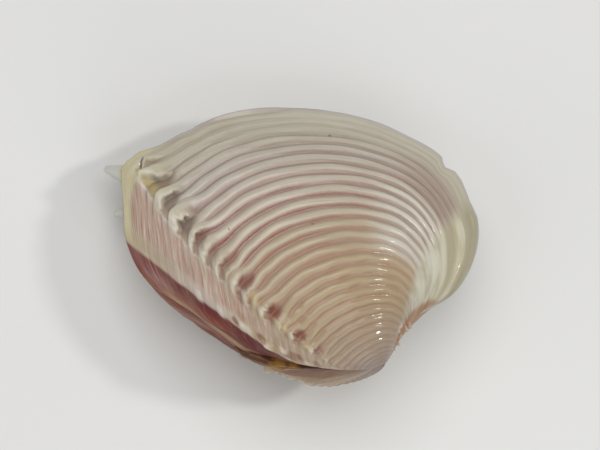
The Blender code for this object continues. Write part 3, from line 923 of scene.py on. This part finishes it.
def rear_area(s):
    """Pink and cream lines between the two rows of spines."""
    return s.layers(
        s.ramp(s.fine, REAR_COLOURS),
        (s.ramp(s.size, ((0.35, 0.75), (0.6, 0))), (0.46, 0.36, 0.25)),
        (s.part("tail", 0.5), (0.66, 0.55, 0.46)),
    )


def front_area(s):
    """Broad pale and olive bands in front, kept darker in part as painted shade where the front turns from
    the light.
    """
    broad = s.lines(0.6, 0.55, 2, 0.5)
    return s.layers(
        s.ramp(s.size, FRONT_COLOURS),
        (s.ramp(broad, ((0.38, 0.6), (0.52, 0))), (0.36, 0.32, 0.2)),
        (s.ramp(broad, ((0.52, 0), (0.64, 0.7))), (0.68, 0.66, 0.55)),
    )


def dorsal_area(s, near):
    """Red-brown, wine and amber bands, or the paler ones of the right valve."""
    # Painted highlight: light lilac streaks laid over the dark bands.
    lilac_sheen = s.times(s.value("lilac_sheen"), s.ramp(s.fine, ((0.4, 0.2), (0.58, 1))))
    band = s.layers(
        s.ramp(s.math("DIVIDE", s.around, BAND_SPAN), BAND_COLOURS),
        (s.part("wine", 0.9), (0.125, 0.012, 0.012)),
        (s.part("amber", 0.9), (0.5, 0.26, 0.06)),
        (s.ramp(s.fine, ((0.4, 0.6), (0.56, 0))), (0.12, 0.02, 0.025)),
        (s.ramp(s.fine, ((0.55, 0), (0.66, 0.45))), (0.4, 0.2, 0.16)),
        (s.times(lilac_sheen, 0.75), (0.42, 0.26, 0.25)),
    )
    pale = s.layers(
        s.ramp(s.size, PALE_COLOURS),
        (s.ramp(s.fine, ((0.4, 0.5), (0.62, 0))), (0.26, 0.12, 0.1)),
        (s.ramp(s.fine, ((0.55, 0), (0.68, 0.4))), (0.56, 0.44, 0.36)),
    )
    return s.mix(near, pale, band)


def hollows(s):
    """Ochre of the hollows under the broken spines, with painted brown shade that deepens away from the row.
    """
    beside = s.plus(s.value("from_row"), 0.5)
    ochre = s.ramp(beside, ((0.4, (0.44, 0.35, 0.15)), (0.75, (0.25, 0.18, 0.12))))
    brown = s.ramp(beside, ((0.3, (0.42, 0.31, 0.21)), (0.6, (0.21, 0.145, 0.115))))
    return s.mix(s.ramp(s.size, ((0.83, 0), (0.86, 1))), brown, ochre)


def specks(s, share):
    """A few dark specks, as layers."""
    for place, at in SPECKS:
        aside = s.times(s.math("SUBTRACT", s.around, place), SPECK_SCALES[0])
        above = s.times(s.math("SUBTRACT", s.size, at), SPECK_SCALES[1])
        far = s.plus(s.math("POWER", aside, 2), s.math("POWER", above, 2))
        yield s.times(s.math("LESS_THAN", far, 1), share), (0.16, 0.11, 0.08)


def matte(s):
    """Where the gloss is missing."""
    total = s.math("MAXIMUM", s.value("hollow"), s.math("MAXIMUM", s.value("crack"), s.value("scale")))
    dorsal = s.math("SUBTRACT", s.value("dorsal"), s.part("amber", 0.7))
    for more in (s.times(dorsal, 0.85), s.part("crest_sheen", 0.75), s.part("rear", 0.4)):
        total = s.math("MAXIMUM", total, more)
    return total


def shell_material(name, near, gloss):
    """Glossy shell. near is 1 for a dark dorsal area and less for a paler one."""
    s = ShellShader(name)
    rim = s.ramp(s.math("DIVIDE", s.around, 20), ((0.43, 0), (0.5, 1)))
    stain = s.times(s.value("stain"), s.ramp(s.cloud, ((0.3, 0.8), (0.6, 1))))
    cord_lines = s.ramp(s.fine, ((0.38, 0.55), (0.58, 0)))
    colour = s.layers(
        grooves(s),
        (s.part("rear", 0.95), rear_area(s)),
        (s.part("front", 0.9), front_area(s)),
        (s.part("mauve", 0.75), s.ramp(s.fine, MAUVE_COLOURS)),
        (s.part("lunule", 0.9), s.ramp(s.fine, LUNULE_COLOURS)),
        (s.value("dorsal"), dorsal_area(s, near)),
        (s.part("cord", 0.85), s.mix(cord_lines, s.ramp(s.size, CORD_COLOURS), (0.38, 0.26, 0.19))),
        (s.part("margin", 0.8), (0.66, 0.59, 0.34)),
        # Painted light: a pale lilac line along the margin's very edge, for the light that shows through the
        # thin edge.
        (s.times(s.ramp(s.size, ((0.986, 0), (0.994, 0.7))), rim), (0.46, 0.42, 0.45)),
        (s.part("scale", 0.75), (0.63, 0.575, 0.4)),
        # Ochre and painted shade in the hollows under the plates.
        (s.part("hollow", 0.9), hollows(s)),
        (s.part("yellow", 0.7), (0.58, 0.5, 0.22)),
        (s.part("edge", 0.75), (0.68, 0.65, 0.54)),
        (s.part("white", 0.85), (0.74, 0.69, 0.6)),
        # Painted shadow under the torn edges of the plates and along the split.
        (s.value("crack"), (0.12, 0.09, 0.08)),
        *specks(s, 0.7 * near),
        (s.part("flare", 0.7), (0.62, 0.56, 0.5)),
        (s.times(stain, 0.92), (0.21, 0.06, 0.035)),
        (s.ramp(s.cloud, ((0.35, 0.16), (0.6, 0))), (0.42, 0.33, 0.24)),
        (s.value("spine"), (0.6, 0.6, 0.55)),
        (s.value("inside"), (0.66, 0.6, 0.55)),
    )
    s.set("Base Color", colour)
    dull = s.plus(s.ramp(s.size, ((0.4, 0.2), (0.62, 0.36))), s.part("wine", 0.35))
    s.set("Roughness", s.plus(s.times(s.fine, 0.22), dull))
    s.set("Coat Weight", s.times(s.math("SUBTRACT", 1, matte(s)), 0.75))
    s.set("Normal", s.bump(s.lines(1.6, 16, 2, 0.5), 0.00005))
    s.set("Specular IOR Level", gloss)
    s.set("Coat Roughness", 0.08)
    return s.material


# Colours of the ligament from its rear end to its thin tail.
LIGAMENT_COLOURS = (
    (0, (0.12, 0.045, 0.01)), (0.12, (0.1, 0.035, 0.008)), (0.21, (0.17, 0.065, 0.012)),
    (0.28, (0.34, 0.17, 0.03)), (0.42, (0.38, 0.2, 0.04)), (0.5, (0.15, 0.08, 0.035)),
    (1, (0.08, 0.05, 0.04)),
)


def ligament_material():
    """Dried horny ligament: glossy amber, darker towards its ends."""
    s = Shader("dried_ligament")
    along = s.value("along")
    fibre = s.streaks((along, 11), (s.value("turn"), 4), 4, 0.6)
    colour = s.layers(
        s.ramp(along, LIGAMENT_COLOURS),
        (s.ramp(fibre, ((0.38, 0.85), (0.56, 0))), (0.085, 0.025, 0.01)),
        (s.ramp(fibre, ((0.56, 0), (0.68, 0.5))), (0.46, 0.27, 0.07)),
    )
    s.set("Base Color", colour)
    s.set("Roughness", s.plus(s.times(fibre, 0.3), 0.25))
    s.set("Normal", s.bump(fibre, 0.00008))
    s.set("Specular IOR Level", 0.25)
    s.set("Coat Weight", 0.35)
    s.set("Coat Roughness", 0.1)
    return s.material


# ---- the ligament

# Its ends round the margin, and its half thickness from the rear end to the tail by the beaks.
LIGAMENT_ENDS = (2.9, 0.35)
LIGAMENT_THICKNESS = (
    (0, 0.12), (0.04, 0.5), (0.1, 0.85), (0.2, 1.05), (0.34, 1), (0.44, 0.6), (0.52, 0.4), (0.7, 0.3),
    (0.85, 0.2), (1, 0.08),
)
LIGAMENT_WIDTH = 0.75  # as a share of its thickness
LIGAMENT_PRESS = 0.08  # into the groove's walls
LIGAMENT_BOW = 0.8  # share of the lips' bow
LIGAMENT_OUT, LIGAMENT_SUNK = 0.95, 0.15


def boxy(value):
    """Sine or cosine with flatter sides."""
    return abs(value) ** 0.7 * (1 if value > 0 else -1)


def ligament_piece(count, sides):
    """Spindle in its groove, thickest behind its middle, with a thin tail towards the beaks."""
    share = np.linspace(0, 1, count)
    at = np.linspace(*LIGAMENT_ENDS, count)
    centre = outline(at)
    centre[:, 1] -= LIGAMENT_BOW * knots(LIP_BOW, centre[:, 0])
    heading = unit(outline(at - SLOPE_STEP) - outline(at + SLOPE_STEP))
    dorsal = np.stack([heading[:, 1], -heading[:, 0]], axis=1)
    thick = knots(LIGAMENT_THICKNESS, share)
    room = groove_half_width(centre[:, 0]) + RIM_GAP + LIGAMENT_PRESS
    width = np.minimum(LIGAMENT_WIDTH * thick, room)
    rows = []
    for k in range(sides):
        angle = 2 * pi * k / sides
        uneven = 1 + 0.06 * ripple(share * 4 + cos(angle), 21)
        out = thick * (LIGAMENT_OUT * boxy(cos(angle)) * uneven - LIGAMENT_SUNK)
        flat = centre + dorsal * out[:, None]
        rows.append(np.concatenate([flat, (width * boxy(sin(angle)) * uneven)[:, None]], axis=1))
    points = np.stack(rows, axis=1).reshape(-1, 3)
    faces = grid_faces(count, sides)
    faces.append(list(range(sides)))
    faces.append(list(range(len(points) - sides, len(points)))[::-1])
    values = {
        "along": np.repeat(share, sides),
        "turn": np.tile(np.sin(np.arange(sides) * 2 * pi / sides), count),
    }
    return make_mesh("clam_ligament", placed(points), faces, values)


# ---- floor, lights and camera

FLOOR_SIZE = 3
FLOOR_DROP = 0.00002  # keeps the shell clear of it
FLOOR_COLOURS = ((0.3, (0.76, 0.76, 0.75)), (0.7, (0.79, 0.79, 0.78)))
WORLD_STRENGTH = 0.2

# Soft boxes: name, azimuth and elevation in degrees, distance and side in metres, power in watts
# and colour. Azimuth 0 is along +X and 90 along +Y.
WHITE = (1, 1, 1)
LIGHTS = (
    ("key", 3, 48, 0.45, 0.05, 0.5, (1, 0.98, 0.95)),
    ("top", 120, 70, 0.6, 0.5, 1.8, WHITE),
    ("left_fill", 200, 30, 0.6, 0.45, 0.7, WHITE),
    ("front_fill", -75, 35, 0.6, 0.45, 0.9, WHITE),
)
LIT_POINT = Vector((0, 0, 0.01))

# Camera nearly overhead, turned so that the beaks are at the lower right.
CAMERA_PLACE = Vector((-86.703, -64.315, 352.871)) * MM
CAMERA_TURN = (radians(11.604), radians(-13.4925), radians(-3.8544))
CAMERA_LENS = 172.8


def add_floor():
    """Pale matte floor."""
    bpy.ops.mesh.primitive_plane_add(size=FLOOR_SIZE, location=(0, 0, -FLOOR_DROP))
    floor = bpy.context.object
    floor.name = "studio_floor"
    s = Shader("pale_floor")
    cloud = s.noise(s.place(), 6, 3, 0.5)
    s.set("Base Color", s.ramp(cloud, FLOOR_COLOURS))
    s.set("Roughness", 0.75)
    s.set("Specular IOR Level", 0.2)
    floor.data.materials.append(s.material)


def add_light(name, azimuth, elevation, distance, side, power, colour):
    """Square soft box that faces the shell."""
    a, e = radians(azimuth), radians(elevation)
    towards = Vector((cos(a) * cos(e), sin(a) * cos(e), sin(e)))
    lamp = bpy.data.lights.new(name, "AREA")
    lamp.size = side
    lamp.energy = power
    lamp.color = colour
    thing = add_object(name, lamp)
    thing.location = LIT_POINT + towards * distance
    thing.rotation_euler = towards.to_track_quat("Z", "Y").to_euler()


def add_world():
    """Even white light from all sides. The standard view keeps the colours as they are."""
    world = bpy.data.worlds.new("studio")
    world.use_nodes = True
    background = world.node_tree.nodes["Background"]
    background.inputs["Color"].default_value = (*WHITE, 1)
    background.inputs["Strength"].default_value = WORLD_STRENGTH
    bpy.context.scene.world = world
    bpy.context.scene.view_settings.view_transform = "Standard"


def add_camera():
    lens = bpy.data.cameras.new("camera")
    lens.lens = CAMERA_LENS
    lens.clip_start = 0.01
    lens.clip_end = 10
    camera = add_object("camera", lens)
    camera.location = CAMERA_PLACE
    camera.rotation_euler = CAMERA_TURN
    bpy.context.scene.camera = camera


# ---- the scene

left = Valve(side=1, seed=3, dorsal=LEFT_DORSAL)
right = Valve(side=-1, seed=4, dorsal=RIGHT_DORSAL)
left_shell = valve_piece("left_shell", left, valve_values(left))
right_shell = valve_piece("right_shell", right, valve_values(right))
ligament = ligament_piece(count=90, sides=20)

left_shell.data.materials.append(shell_material("left_shell_porcelain", near=1, gloss=0.45))
right_shell.data.materials.append(shell_material("right_shell_porcelain", near=0.35, gloss=0.2))
ligament.data.materials.append(ligament_material())

for piece, node, slot in (
    (left_shell, "left_valve", "shell"),
    (right_shell, "right_valve", "shell"),
    (ligament, "ligament", "dried_ligament"),
):
    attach(piece, "root")
    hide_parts(node)

add_floor()
for light in LIGHTS:
    add_light(*light)
add_world()
add_camera()
